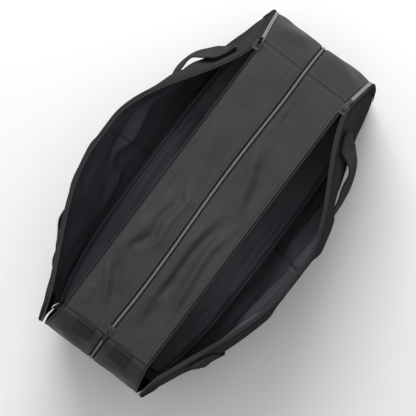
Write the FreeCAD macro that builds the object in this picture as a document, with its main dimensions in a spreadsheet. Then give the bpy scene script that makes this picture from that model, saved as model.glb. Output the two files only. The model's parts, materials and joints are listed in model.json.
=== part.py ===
import FreeCAD, Part
import bisect
import math
import os

import Sketcher
from FreeCAD import Placement, Rotation, Vector

# A soft skate bag that stands on its base, in millimetres. +X points to the far end, +Y to the
# left side and +Z up, and the origin is the middle of the base where it meets the floor.
# Two dividers make three compartments under a long top band. The centre zip is closed. The two
# side zips are open, so that each side panel leans outwards about its base edge: each of its
# points is turned by the full opening angle times a share that depends only on x.

# Each row is an alias, a value or a formula on the other aliases, and what it measures.
SIZES = [
    ("top_half_length", 195, "middle of the bag to a cross seam"),
    ("end_half_length", "=top_half_length + 41", "middle of the bag to an end"),
    ("bag_height", 285, "floor to the outer face of the top band"),
    ("shoulder_height", "=bag_height - 70", "floor to where an end stops being upright"),
    ("zip_half_width", 63, "middle of the bag to a side zip, on top"),
    ("rim_margin", 4, "side zip to the outer face of a side panel"),
    ("base_half_width", "=zip_half_width + 40", "base, at the middle of its length"),
    ("base_end_half_width", "=zip_half_width + 20", "base, at its ends"),
    ("belly_half_width", "=zip_half_width + 44", "side panel's fullest point, closed"),
    ("belly_end_half_width", "=zip_half_width + 20", "the same height at an end"),
    ("belly_height", 120, "floor to the fullest point"),
    ("left_reach", 82, "how far the left rim leans out from its closed place"),
    ("right_reach", 71, "the same for the right rim"),
    ("near_margin", 34, "past the near end, where the lean would be nil"),
    ("near_crest", -20, "x where the lean that grows from the near end is full"),
    ("far_crest", 15, "x where the lean that grows from the far end is full"),
    ("far_margin", 16, "past the side sliders, where the lean is nil"),
    ("side_slider_place", "=top_half_length - 8", "x of the side sliders"),
    ("centre_slider_place", "=9 - top_half_length", "x of the centre slider"),
    ("fabric", 1.2, "thickness of the shell cloth"),
    ("floor_cloth", 1.5, "thickness of the base cloth"),
    ("board", 2, "thickness of the stiffener in the base"),
    ("board_margin", 12, "stiffener's edge inside the base's edge"),
    ("lining", 1, "thickness of the cloth over the stiffener"),
    ("divider_place", "=zip_half_width - 12", "middle of the bag to a divider"),
    ("panel_to_zip", 3.4, "edge of a top or end panel to its zip's middle"),
    ("tape_width", 9.6, "zip tape from its coil inwards"),
    ("tape", 0.8, "thickness of a zip tape"),
    ("coil_width", 2, "one half of a zip's coil"),
    ("coil_gap", 1.2, "space between the halves, where a slider's web runs"),
    ("coil_proud", 0.5, "coil above the cloth's face"),
    ("coil_depth", 2.2, "coil's height"),
    ("chain_end_height", 90, "floor to where the zips end"),
    ("hem_width", 9, "folded hem along a side panel's rim"),
    ("hem", 0.8, "thickness of the hem"),
    ("gap", 0.3, "clearance between pieces that move past each other"),
    ("slider_lift", 0.75, "coil to a slider's upper plate"),
    ("slider_length", 12, "slider along its zip"),
    ("slider_width", 9, "slider across its zip"),
    ("slider_plate", 1.2, "thickness of a slider's plates"),
    ("slider_web", 0.6, "thickness of the web between the plates"),
    ("bar_height", 2.2, "slider's plate to the middle of its bar"),
    ("bar_diameter", 1.3, "bar that the pull hangs on"),
    ("post", 0.9, "thickness of each post that holds the bar"),
    ("pull_length", 15, "bar to the pull's tip"),
    ("pull_width", 4, "pull across"),
    ("pull_thickness", 1.2, "pull's plate"),
    ("eye_diameter", 3.6, "pull's eye, outside"),
    ("lying_angle", 10, "how far a lying pull tips down"),
    ("standing_angle", 52, "how far the left pull stands up"),
    ("webbing_width", 25, "webbing of the tabs and handles"),
    ("webbing", 2, "thickness of the webbing"),
    ("tab_place", 27, "middle of the bag to the middle of a tab"),
    ("tab_length", 30, "tab from above the seam, down the end"),
    ("tab_lift", 3, "tab above the cross seam"),
    ("tab_thickness", 3, "doubled webbing of a tab"),
    ("anchor_place", "=top_half_length - 39", "middle of the bag to a handle's end"),
    ("anchor_low", "=bag_height - 73", "lower edge of a handle's sewn end"),
    ("anchor_high", "=bag_height - 42", "upper edge of its stitching"),
    ("fold_height", "=bag_height - 15", "where the strap folds over outwards"),
    ("fold_radius", 3, "the fold, at the strap's middle line"),
    ("fold_room", 5.5, "fold off the panel, more than the sewn end, because the panel turns away"),
    ("turn_place", "=top_half_length - 48", "middle of the bag to where the hanging strap turns"),
    ("turn_height", "=bag_height - 110", "floor to where it turns"),
    ("turn_radius", 26, "that turn, at the strap's middle line"),
    ("handle_low", "=bag_height - 172", "corner that the strap's lowest part rounds"),
    ("low_radius", 90, "lowest part, at the strap's middle line"),
    ("handle_stand_off", 2, "hanging strap to the least it may stand off the panel"),
    ("patch_margin", 3, "patch past the webbing that is sewn on it"),
    ("patch", 0.8, "thickness of a handle's patch"),
    ("stop_length", 2, "stop at the end of a zip"),
]

doc = FreeCAD.newDocument("skate_bag")
sheet = doc.addObject("Spreadsheet::Sheet", "Sizes")
for row, (alias, value, meaning) in enumerate(SIZES, start=1):
    sheet.setAlias(f"B{row}", alias)
for row, (alias, value, meaning) in enumerate(SIZES, start=1):
    sheet.set(f"A{row}", meaning)
    sheet.set(f"B{row}", str(value))
doc.recompute()


def size(alias):
    return float(getattr(sheet, alias))


rim_half_width = size("zip_half_width") + size("rim_margin")
shell = size("fabric")
floor_top = size("floor_cloth") + size("board") + size("lining")


# ---- the bag's form ------------------------------------------------------------------------


def side_curve(z, low, middle, high):
    """A half width at height z: a parabola through its values at base, belly and top."""
    belly, top = size("belly_height"), size("bag_height")
    bend = ((high - low) / top - (middle - low) / belly) / (top - belly)
    slope = (middle - low) / belly - bend * belly
    return low + slope * z + bend * z * z


def half_width(x, z):
    """Middle of the bag to the outer face of a closed side panel."""
    at_end = side_curve(z, size("base_end_half_width"), size("belly_end_half_width"), rim_half_width)
    at_middle = side_curve(z, size("base_half_width"), size("belly_half_width"), rim_half_width)
    fullness = 1 - min(1, abs(x) / size("end_half_length")) ** 4
    return at_end + (at_middle - at_end) * fullness


def shoulder():
    """The arc that joins an upright end to the top: its centre's x, its radius and its turn."""
    rise = size("bag_height") - size("shoulder_height")
    run = size("end_half_length") - size("top_half_length")
    radius = (rise * rise + run * run) / (2 * run)
    return size("end_half_length") - radius, radius, math.asin(rise / radius)


def top_at(x):
    """Height of the bag's outline, seen from the side, at x."""
    centre, radius, _ = shoulder()
    if abs(x) <= size("top_half_length"):
        return size("bag_height")
    across = min(radius, abs(x) - centre)
    return size("shoulder_height") + math.sqrt(radius * radius - across * across)


def smooth(t):
    t = max(0, min(1, t))
    return t * t * (3 - 2 * t)


def lean_share(x):
    """The share of the full opening angle that a side panel is turned by at x."""
    near = -size("end_half_length") - size("near_margin")
    far = size("side_slider_place") + size("far_margin")
    from_near = smooth((x - near) / (size("near_crest") - near))
    from_far = smooth((far - x) / (far - size("far_crest")))
    return min(from_near, from_far)


def full_lean(reach):
    """The opening angle, in radians, that carries a rim out by reach."""
    across = rim_half_width - size("base_half_width")
    arm = math.hypot(across, size("bag_height"))
    return math.asin((across + reach) / arm) - math.asin(across / arm)


def leaned(point, reach):
    """A point of the left side panel, carried from closed to its place in the open bag."""
    angle = full_lean(reach) * lean_share(point.x)
    across = point.y - size("base_half_width")
    return Vector(
        point.x,
        size("base_half_width") + across * math.cos(angle) + point.z * math.sin(angle),
        -across * math.sin(angle) + point.z * math.cos(angle),
    )


def rim_stations(low):
    """The bag's outline from the side, as (x, z, outward x, outward z), from height low at the
    near end, over the top, to the same height at the far end."""
    centre, radius, turn = shoulder()
    end, top = size("end_half_length"), size("bag_height")
    steps = 4
    zips_start = size("chain_end_height")
    below = [low, zips_start - 2 * size("stop_length"), zips_start - size("stop_length")]
    upright = below if low < zips_start else [low]
    count = 5
    for step in range(1, count):
        upright.append(zips_start + (size("shoulder_height") - zips_start) * step / count)
    rising = [(end, z, 1, 0) for z in upright]
    for step in range(steps):
        angle = turn * step / steps
        x = centre + radius * math.cos(angle)
        z = size("shoulder_height") + radius * math.sin(angle)
        rising.append((x, z, math.cos(angle), math.sin(angle)))
    crease = (math.pi / 2 + turn) / 2
    rising.append((size("top_half_length"), top, math.cos(crease), math.sin(crease)))
    near = [(-x, z, -out_x, out_z) for x, z, out_x, out_z in rising]
    count = 12
    middle = []
    for step in range(1, count):
        middle.append((size("top_half_length") * (2 * step / count - 1), top, 0, 1))
    return near + middle + rising[::-1]


PANEL_PLACES = sorted({station[0] for station in rim_stations(size("chain_end_height"))})


def on_panel(x, z, off, reach):
    """A point off the outer face of the leaning side panel, whose cloth runs straight from each
    of PANEL_PLACES to the next."""
    after = min(max(bisect.bisect(PANEL_PLACES, x), 1), len(PANEL_PLACES) - 1)
    first, last = PANEL_PLACES[after - 1], PANEL_PLACES[after]
    ends = [leaned(Vector(place, half_width(place, z) + off, z), reach) for place in (first, last)]
    return ends[0] + (ends[1] - ends[0]) * ((x - first) / (last - first))


def loft(sections):
    """A solid through closed sections, with straight lines between neighbours."""
    wires = [Part.makePolygon(points + [points[0]]) for points in sections]
    solid = Part.makeLoft(wires, True, True)
    if solid.Volume > 0:
        return solid
    return Part.makeSolid(Part.makeShell([face.reversed() for face in solid.Faces]))


def strip(stations, edges, shallow, deep):
    """A flat strip along the outline, shallow to deep under it. edges gives the two sides of the
    strip, as distances from the bag's middle plane, at a station's x and z."""
    sections = []
    for x, z, out_x, out_z in stations:
        first, last = edges(x, z)
        corners = ((first, shallow), (last, shallow), (last, deep), (first, deep))
        sections.append([Vector(x - out_x * d, y, z - out_z * d) for y, d in corners])
    return loft(sections)


def rim_strip(stations, reach, inner, outer, shallow, deep):
    """A strip along the side panel's rim, from inner to outer off the panel's leaning face and
    from shallow to deep under the rim. Its two ends stay level, so that they are flat."""
    sections = []
    for station in stations:
        x, z, out_x, out_z = station
        section = []
        for off, depth in ((inner, shallow), (outer, shallow), (outer, deep), (inner, deep)):
            place, height = x - out_x * depth, z - out_z * depth
            point = on_panel(place, height, off, reach)
            if station in (stations[0], stations[-1]):
                point.z = height
            section.append(point)
        sections.append(section)
    return loft(sections)


def skin(places, heights_at, reach, inner, outer):
    """A piece of the leaning side panel through the heights that heights_at gives for each x.
    Its two faces stand inner and outer off the panel's own face."""
    sections = []
    for x in places:
        heights = heights_at(x)
        up = [on_panel(x, z, outer, reach) for z in heights]
        down = [on_panel(x, z, inner, reach) for z in reversed(heights)]
        sections.append(up + down)
    return loft(sections)


# ---- how objects are made ------------------------------------------------------------------

NODES = []


def keep(node, name):
    """Lists an object as a sub-part and names it."""
    node.Label = name
    NODES.append(node)
    return node


def set_shape(name, shape):
    """A sub-part whose form neither a sketch nor a primitive gives."""
    node = doc.addObject("Part::Feature", name)
    node.Shape = shape
    node.Placement = Placement()
    return keep(node, name)


def mirrored(source, name):
    """The right-hand piece: the left-hand one reflected in the bag's middle plane."""
    node = doc.addObject("Part::Mirroring", name)
    node.Source = source
    node.Normal = Vector(0, 1, 0)
    return keep(node, name)


def pair(name, shape):
    mirrored(set_shape("left_" + name, shape), "right_" + name)


def leaning_pair(name, make):
    """The two pieces that lean out with the side panels. make(reach) gives a left-hand form, and
    the right-hand piece is the reflection of the form that has the right side's reach."""
    set_shape("left_" + name, make(size("left_reach")))
    form = doc.addObject("Part::Feature", f"right_{name}_form")
    form.Shape = make(size("right_reach"))
    mirrored(form, "right_" + name)


def box(name, length, width, height, x, y, z):
    """A box whose sides and place are expressions of the sheet's sizes."""
    node = doc.addObject("Part::Box", name)
    for prop, value in (("Length", length), ("Width", width), ("Height", height)):
        node.setExpression(prop, value)
    for axis, value in (("x", x), ("y", y), ("z", z)):
        node.setExpression("Placement.Base." + axis, value)
    return node


def fused(name, pieces):
    node = doc.addObject("Part::MultiFuse", name)
    node.Shapes = pieces
    return node


def origin_plane(body, role):
    return next(plane for plane in body.Origin.OriginFeatures if plane.Role == role)


def padded_body(name, role, edges, length, placement):
    """A body made by padding one sketch on an origin plane to a length of the sheet."""
    body = doc.addObject("PartDesign::Body", name)
    sketch = body.newObject("Sketcher::SketchObject", name + "_outline")
    sketch.AttachmentSupport = (origin_plane(body, role), [""])
    sketch.MapMode = "FlatFace"
    sketch.addGeometry(edges, False)
    count = len(edges)
    for index in range(count):
        sketch.addConstraint(Sketcher.Constraint("Block", index))
    doc.recompute()
    pad = body.newObject("PartDesign::Pad", name + "_pad")
    pad.Profile = sketch
    pad.setExpression("Length", length)
    body.Tip = pad
    body.Placement = placement
    return body


def polygon_edges(points):
    closed = points + [points[0]]
    return [Part.LineSegment(start, end) for start, end in zip(closed, closed[1:])]


# ---- base ----------------------------------------------------------------------------------


def base_outline(margin):
    """The base in plan, as points along both sides, margin inside its edge."""
    reach = size("end_half_length") - margin
    count = 10
    places = [reach * math.sin(math.pi / 2 * (2 * step / count - 1)) for step in range(count + 1)]
    left = [Vector(x, half_width(x, 0) - margin, 0) for x in places]
    return left + [Vector(point.x, -point.y, 0) for point in reversed(left)]


def make_base():
    layers = (
        ("base_panel", 0, "Sizes.floor_cloth", 0),
        ("base_board", size("board_margin"), "Sizes.board", size("floor_cloth")),
        ("base_lining", size("board_margin") / 2, "Sizes.lining", size("floor_cloth") + size("board")),
    )
    for name, margin, thickness, height in layers:
        edges = polygon_edges(base_outline(margin))
        placement = Placement(Vector(0, 0, height), Rotation())
        keep(padded_body(name, "XY_Plane", edges, thickness, placement), name)


# ---- dividers ------------------------------------------------------------------------------


def outline_inside(depth, low):
    """The bag's outline from the side, depth inside its face and cut off at height low."""
    points = []
    for x, z, out_x, out_z in rim_stations(low):
        points.append(Vector(x - out_x * depth, z - out_z * depth, 0))
    return points


def make_dividers():
    """Each divider hangs from the side zip's tape and stands on the base's lining. A pad on the
    XZ plane grows towards -Y."""
    edges = polygon_edges(outline_inside(shell + size("tape"), floor_top))
    place = Placement(Vector(0, size("divider_place") + shell, 0), Rotation())
    left = padded_body("left_divider", "XZ_Plane", edges, "Sizes.fabric", place)
    mirrored(keep(left, "left_divider"), "right_divider")


# ---- top band and ends ---------------------------------------------------------------------


def panel_edges(x, z):
    """The two sides of a panel: beside the zips where they run, and below them at the middle of
    the bag and against the side panel."""
    if z < size("chain_end_height") - size("stop_length"):
        return 0, half_width(x, z) - shell - size("gap")
    return size("panel_to_zip"), half_width(x, z) - size("rim_margin") - size("panel_to_zip")


def make_panels():
    """The top band's halves between the cross seams, and the ends' halves below them."""
    stations = rim_stations(size("floor_cloth"))
    crease = size("top_half_length")
    groups = (
        ("top_panel", [s for s in stations if abs(s[0]) <= crease]),
        ("near_end_panel", [s for s in stations if s[0] <= -crease]),
        ("far_end_panel", [s for s in stations if s[0] >= crease]),
    )
    for name, some in groups:
        pair(name, strip(some, panel_edges, 0, shell))


def make_centre_zip():
    """The closed centre zip: on each side a coil half at the middle and its tape, which lies
    under the panels."""
    stations = rim_stations(size("chain_end_height"))
    inner = size("coil_gap") / 2
    outer = inner + size("coil_width")
    proud = -size("coil_proud")
    coil = strip(stations, lambda x, z: (inner, outer), proud, proud + size("coil_depth"))
    pair("centre_coil", coil)
    tape_edge = outer + size("tape_width")
    pair("centre_tape", strip(stations, lambda x, z: (outer, tape_edge), shell, shell + size("tape")))


def make_side_zips():
    """Each side zip is open: one coil half and tape stay on the band and the ends, the other
    coil half and tape run along the side panel's rim."""
    stations = rim_stations(size("chain_end_height"))
    middle = -size("rim_margin")
    half_gap = size("coil_gap") / 2
    proud = -size("coil_proud")
    deep = proud + size("coil_depth")
    band_coil = middle - half_gap - size("coil_width")

    def off_face(inner, outer):
        return lambda x, z: (half_width(x, z) + inner, half_width(x, z) + outer)

    pair("band_coil", strip(stations, off_face(band_coil, middle - half_gap), proud, deep))
    tape = off_face(band_coil - size("tape_width"), band_coil)
    pair("band_tape", strip(stations, tape, shell, shell + size("tape")))
    rim_coil = middle + half_gap
    coil_face = rim_coil + size("coil_width")
    leaning_pair("rim_coil", lambda reach: rim_strip(stations, reach, rim_coil, coil_face, proud, deep))
    outer = -shell - 2 * size("gap")
    inner, last = outer - size("tape"), deep + size("tape_width")
    leaning_pair("rim_tape", lambda reach: rim_strip(stations, reach, inner, outer, deep, last))


def make_stops():
    """A small stop past each end of the centre zip and of the band's half of each side zip."""
    thick = size("coil_depth")
    low = size("chain_end_height") - size("stop_length")
    inner = -size("rim_margin") - size("coil_gap") / 2 - size("coil_width")
    side_place = half_width(size("end_half_length"), low) + inner
    solids = []
    for end in (-1, 1):
        near_face = size("end_half_length") + size("coil_proud")
        x = near_face - thick if end > 0 else -near_face
        for y, width in (
            (-size("coil_gap") / 2 - size("coil_width"), size("coil_gap") + 2 * size("coil_width")),
            (side_place, size("coil_width")),
            (-side_place - size("coil_width"), size("coil_width")),
        ):
            solids.append(Part.makeBox(thick, width, size("stop_length"), Vector(x, y, low)))
    set_shape("zip_end_stops", Part.makeCompound(solids))


# ---- side panels ---------------------------------------------------------------------------


def make_side_panels():
    stations = rim_stations(size("chain_end_height"))
    bottom = size("floor_cloth") + size("gap")
    layers = 8

    def heights_at(x):
        """Even steps from the floor to just under the rim's trim, and then the rim."""
        under_trim = top_at(x) - size("coil_depth") - size("tape_width")
        steps = [bottom + (under_trim - bottom) * step / layers for step in range(layers + 1)]
        return steps + [top_at(x)]

    leaning_pair("side_panel", lambda reach: skin(PANEL_PLACES, heights_at, reach, -shell, 0))
    face, deep = 1.5 * size("gap"), size("hem_width")
    hem_face = face + size("hem")
    leaning_pair("rim_hem", lambda reach: rim_strip(stations, reach, face, hem_face, 0, deep))


# ---- handles -------------------------------------------------------------------------------


def rounded_corner(before, corner, after, radius, steps):
    """Points of the arc that rounds a corner of a path in the XZ plane."""
    back, ahead = (before - corner).normalize(), (after - corner).normalize()
    half = back.getAngle(ahead) / 2
    centre = corner + (back + ahead).normalize() * (radius / math.sin(half))
    first = corner + back * (radius / math.tan(half)) - centre
    last = corner + ahead * (radius / math.tan(half)) - centre
    swing = first.getAngle(last)
    points = []
    for step in range(steps + 1):
        share = step / steps
        weights = math.sin((1 - share) * swing), math.sin(share * swing)
        points.append(centre + (first * weights[0] + last * weights[1]) / math.sin(swing))
    return points


def hanging_route():
    """The middle line of the hanging half of a strap, in the XZ plane, from its fold down to its
    lowest part: down past the sewn end, round a turn, slanting, and half of the wide bend."""
    fold = Vector(size("anchor_place"), 0, size("fold_height"))
    turn = Vector(size("turn_place"), 0, size("turn_height"))
    low = Vector(0, 0, size("handle_low"))
    opposite = Vector(-turn.x, 0, turn.z)
    round_turn = rounded_corner(fold, turn, low, size("turn_radius"), 6)
    under = rounded_corner(turn, low, opposite, size("low_radius"), 8)[:5]
    drop = [fold + (round_turn[0] - fold) * step / 4 for step in range(1, 4)]
    slant = [round_turn[-1] + (under[0] - round_turn[-1]) * step / 4 for step in range(1, 4)]
    return drop + round_turn + slant + under


def strap_flat():
    """How far a sewn strap's inner face stands off the panel."""
    return size("patch") + 4 * size("gap")


def fold_frame(reach):
    """The fold of each strap end: its centre at +X and at -X, the direction from the second to
    the first, and the directions out of the bag and up, square to it."""
    tops = []
    for place in (size("anchor_place"), -size("anchor_place")):
        z = size("fold_height")
        off = strap_flat() + size("webbing") / 2 + size("fold_room")
        tops.append(on_panel(place, z, off, reach))
    along = (tops[0] - tops[1]).normalize()
    out = Vector(-along.y, along.x, 0).normalize()
    up = along.cross(out)
    centres = [top + out * size("fold_radius") for top in tops]
    return centres, along, out, up


def fold_section(centre, along, out, up, angle, near, shift):
    """A strap's cross section at an angle round its fold: 0 at the sewn end, a half turn where
    it hangs. near is the strap face that comes first, -1 or 1 for the inside or the outside of
    the fold, and shift moves the section out of the bag."""
    ray = up * math.sin(angle) - out * math.cos(angle)
    half = size("webbing_width") / 2
    section = []
    for side, face in ((1, near), (1, -near), (-1, -near), (-1, near)):
        radius = size("fold_radius") + face * size("webbing") / 2
        section.append(centre + along * (side * half) + ray * radius + out * shift)
    return section


def surface_section(point, along, reach, off):
    """A strap's cross section over the panel, square to its run in the XZ plane."""
    across = Vector(along.z, 0, -along.x) * (size("webbing_width") / 2)
    section = []
    for side, out in ((1, 0), (1, 1), (-1, 1), (-1, 0)):
        place = point + across * side
        section.append(on_panel(place.x, place.z, off + out * size("webbing"), reach))
    return section


def hanging_strap(reach):
    """The part of a handle that swings: from the top of one fold, down the outside of the panel,
    along, and up to the top of the other."""
    (far, near), along, out, up = fold_frame(reach)
    half = hanging_route()
    route = half + [Vector(-point.x, 0, point.z) for point in reversed(half[:-1])]
    angles = [math.pi * share for share in (0.5, 0.75, 1)]
    shift = size("gap") / 2
    sections = [fold_section(far, -along, out, up, angle, -1, shift) for angle in angles]
    doubled = 2 * size("fold_radius") + size("fold_room")
    for index, point in enumerate(route):
        before, after = route[max(0, index - 1)], route[min(len(route) - 1, index + 1)]
        below = smooth((size("fold_height") - point.z) / (size("fold_height") - size("turn_height")))
        off = strap_flat() + doubled + (size("handle_stand_off") - doubled) * below
        sections.append(surface_section(point, (after - before).normalize(), reach, off))
    for angle in reversed(angles):
        sections.append(fold_section(near, along, out, up, angle, -1, shift))
    return loft(sections)


def sewn_ends(reach):
    """On each side of a handle, the patch and the sewn end of the strap, up to its fold's top."""
    centres, along, out, up = fold_frame(reach)
    reach_x = size("webbing_width") / 2 + size("patch_margin")
    low, high = size("anchor_low") - size("patch_margin"), size("anchor_high") + size("patch_margin")
    inner = 1.5 * size("gap")
    solids = []
    for place, centre in zip((size("anchor_place"), -size("anchor_place")), centres):
        places = [place - reach_x, place, place + reach_x]
        heights = [low, (low + high) / 2, high]
        solids.append(skin(places, lambda x: heights, reach, inner, inner + size("patch")))
        foot = Vector(place, 0, size("anchor_low"))
        rise = Vector(0, 0, size("fold_height") - size("anchor_low"))
        sections = []
        for share in (0, 0.3, 0.6, 0.85):
            section = surface_section(foot + rise * share, Vector(0, 0, 1), reach, strap_flat())
            if share == 0:
                for corner in section:
                    corner.z = size("anchor_low")
            sections.append(section)
        for share in (0.1, 0.3, 0.5):
            sections.append(fold_section(centre, along, out, up, math.pi * share, 1, -size("gap") / 2))
        solids.append(loft(sections))
    return Part.makeCompound(solids)


def make_handles():
    """Each handle is a strap of webbing on the outside of a side panel. Its ends are sewn on
    upright, it folds over outwards near the rim, and hangs down between its ends."""
    leaning_pair("handle", hanging_strap)
    leaning_pair("handle_anchors", sewn_ends)


# ---- tabs ----------------------------------------------------------------------------------


def make_tabs():
    """A folded tab of webbing on each side of the centre zip, from above the near cross seam
    down over the end."""
    centre, radius, turn = shoulder()
    down = size("tab_length") - size("tab_lift")
    top = size("bag_height")
    stations = [(-size("top_half_length") + size("tab_lift"), top, 0, 1)]
    steps = 4
    for step in range(steps + 1):
        angle = turn - down / radius * step / steps
        x, z = centre + radius * math.cos(angle), size("shoulder_height") + radius * math.sin(angle)
        stations.append((-x, z, -math.cos(angle), math.sin(angle)))
    half = size("webbing_width") / 2
    sections = []
    for x, z, out_x, out_z in stations:
        section = []
        for side, lift in ((-1, 0), (1, 0), (1, 1), (-1, 1)):
            height = lift * size("tab_thickness")
            section.append(Vector(x + out_x * height, size("tab_place") + side * half, z + out_z * height))
        sections.append(section)
    pair("webbing_tab", loft(sections))


# ---- sliders and pulls ---------------------------------------------------------------------


def slider(name, place, y, under_left):
    """A zip slider: a plate above the coils and one below, joined by a web that runs between
    the coils, and a bar between two posts for the pull. under_left is how far the lower plate
    reaches to +Y, because a side panel stands beside a side slider."""
    top = "Sizes.bag_height + Sizes.coil_proud + Sizes.slider_lift"
    bottom = "Sizes.bag_height - Sizes.fabric - Sizes.tape - Sizes.gap - Sizes.slider_plate"
    start = f"{place} - Sizes.slider_length / 2"
    left = f"{y} - Sizes.slider_width / 2"
    bar_z = f"{top} + Sizes.slider_plate + Sizes.bar_height"
    post_side = "Sizes.pull_width / 2 + Sizes.gap"
    parts = [
        box(name + "_top", "Sizes.slider_length", "Sizes.slider_width", "Sizes.slider_plate", start, left, top),
        box(
            name + "_under",
            "Sizes.slider_length",
            f"Sizes.slider_width / 2 + {under_left}",
            "Sizes.slider_plate",
            start,
            left,
            bottom,
        ),
        box(
            name + "_web",
            "Sizes.slider_length / 2",
            "Sizes.slider_web",
            f"{top} - ({bottom})",
            start,
            f"{y} - Sizes.slider_web / 2",
            bottom,
        ),
    ]
    for side, offset in (("left", post_side), ("right", f"-({post_side}) - Sizes.post")):
        parts.append(
            box(
                f"{name}_{side}_post",
                "2 * Sizes.bar_diameter",
                "Sizes.post",
                "Sizes.bar_height + Sizes.bar_diameter",
                f"{place} - Sizes.bar_diameter",
                f"{y} + {offset}",
                f"{top} + Sizes.slider_plate",
            )
        )
    bar = doc.addObject("Part::Cylinder", name + "_bar")
    bar.setExpression("Radius", "Sizes.bar_diameter / 2")
    bar.setExpression("Height", f"2 * ({post_side}) + Sizes.post")
    bar.Placement = Placement(Vector(), Rotation(Vector(1, 0, 0), 90))
    bar.setExpression("Placement.Base.x", place)
    bar.setExpression("Placement.Base.y", f"{y} + {post_side} + Sizes.post / 2")
    bar.setExpression("Placement.Base.z", bar_z)
    return fused(name, parts + [bar])


def pull(name, place, y, turn):
    """A pull with an eye on the slider's bar. It is modelled along +X and turned about the bar."""
    plate = box(
        name + "_plate",
        "Sizes.pull_length",
        "Sizes.pull_width",
        "Sizes.pull_thickness",
        "0",
        "-Sizes.pull_width / 2",
        "-Sizes.pull_thickness / 2",
    )
    across = Placement(Vector(), Rotation(Vector(1, 0, 0), 90))
    rounds = []
    for part, radius, grow in (
        ("eye", "Sizes.eye_diameter / 2", "0"),
        ("bore", "Sizes.bar_diameter / 2 + Sizes.gap", "1"),
    ):
        cylinder = doc.addObject("Part::Cylinder", f"{name}_{part}")
        cylinder.setExpression("Radius", radius)
        cylinder.setExpression("Height", f"Sizes.pull_width + 2 * {grow}")
        cylinder.Placement = across
        cylinder.setExpression("Placement.Base.y", f"Sizes.pull_width / 2 + {grow}")
        rounds.append(cylinder)
    cut = doc.addObject("Part::Cut", name)
    cut.Base = fused(name + "_blank", [plate, rounds[0]])
    cut.Tool = rounds[1]
    plate_top = size("bag_height") + size("coil_proud") + size("slider_lift") + size("slider_plate")
    height = plate_top + size("bar_height")
    cut.Placement = Placement(Vector(place, y, height), turn)
    return cut


def make_sliders():
    lift = Vector(0, 1, 0)
    web_side = "Sizes.coil_gap / 2"
    left = slider("left_slider", "Sizes.side_slider_place", "Sizes.zip_half_width", web_side)
    mirrored(keep(left, "left_slider"), "right_slider")
    half = "Sizes.slider_width / 2"
    keep(slider("centre_slider", "Sizes.centre_slider_place", "0", half), "centre_slider")
    side, zip_place = size("side_slider_place"), size("zip_half_width")
    standing = Rotation(lift, -size("standing_angle"))
    keep(pull("left_pull", side, zip_place, standing), "left_pull")
    keep(pull("right_pull", side, -zip_place, Rotation(lift, size("lying_angle"))), "right_pull")
    lying_near = Rotation(lift, 180 - size("lying_angle"))
    keep(pull("centre_pull", size("centre_slider_place"), 0, lying_near), "centre_pull")


# ---- build, test and write -----------------------------------------------------------------

make_base()
make_dividers()
make_panels()
make_centre_zip()
make_side_zips()
make_stops()
make_side_panels()
make_handles()
make_tabs()
make_sliders()
doc.recompute()

for item in doc.Objects:
    if "Invalid" in item.State or "Error" in item.State:
        raise RuntimeError(f"{item.Name} failed: {item.State}")
for node in NODES:
    if node.Shape.isNull() or not node.Shape.isValid() or node.Shape.Volume <= 0:
        raise RuntimeError(f"{node.Label} has no valid solid")

os.makedirs("parts", exist_ok=True)
for node in NODES:
    node.Shape.exportStep(f"parts/{node.Label}.step")
for side in ("left", "right"):
    print(f"{side} lean {math.degrees(full_lean(size(side + '_reach'))):.4f} degrees")
print(f"{len(NODES)} sub-parts written")
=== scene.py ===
import json
import math

import bmesh
import bpy
from mathutils import Matrix, Vector, noise


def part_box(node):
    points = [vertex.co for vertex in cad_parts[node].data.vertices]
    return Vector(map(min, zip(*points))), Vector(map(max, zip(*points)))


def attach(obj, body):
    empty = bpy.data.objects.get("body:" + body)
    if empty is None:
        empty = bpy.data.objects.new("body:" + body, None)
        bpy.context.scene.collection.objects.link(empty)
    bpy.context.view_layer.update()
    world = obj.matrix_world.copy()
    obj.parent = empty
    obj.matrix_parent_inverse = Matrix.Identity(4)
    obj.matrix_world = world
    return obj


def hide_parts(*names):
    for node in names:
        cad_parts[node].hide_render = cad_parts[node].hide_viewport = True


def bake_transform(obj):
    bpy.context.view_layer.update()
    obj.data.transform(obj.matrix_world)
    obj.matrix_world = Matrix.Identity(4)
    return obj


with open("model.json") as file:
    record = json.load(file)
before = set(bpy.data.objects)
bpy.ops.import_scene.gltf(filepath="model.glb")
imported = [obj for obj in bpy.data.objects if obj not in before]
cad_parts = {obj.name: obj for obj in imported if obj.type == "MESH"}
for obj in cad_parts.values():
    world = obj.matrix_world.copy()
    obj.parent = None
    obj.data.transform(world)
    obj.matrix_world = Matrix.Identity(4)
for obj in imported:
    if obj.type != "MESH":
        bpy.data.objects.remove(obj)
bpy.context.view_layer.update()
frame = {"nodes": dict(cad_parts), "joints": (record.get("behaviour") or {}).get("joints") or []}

# A skate bag in metres: +X is the far end, +Y the left side, +Z up. The top band, the ends and the
# dividers stay still.

# ---- sizes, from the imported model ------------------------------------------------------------

SIDES = {"left": 1, "right": -1}

panel_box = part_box("left_top_panel")
base_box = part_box("base_panel")
band_coil_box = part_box("left_band_coil")
slider_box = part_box("left_slider")
tab_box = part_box("left_webbing_tab")

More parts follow.
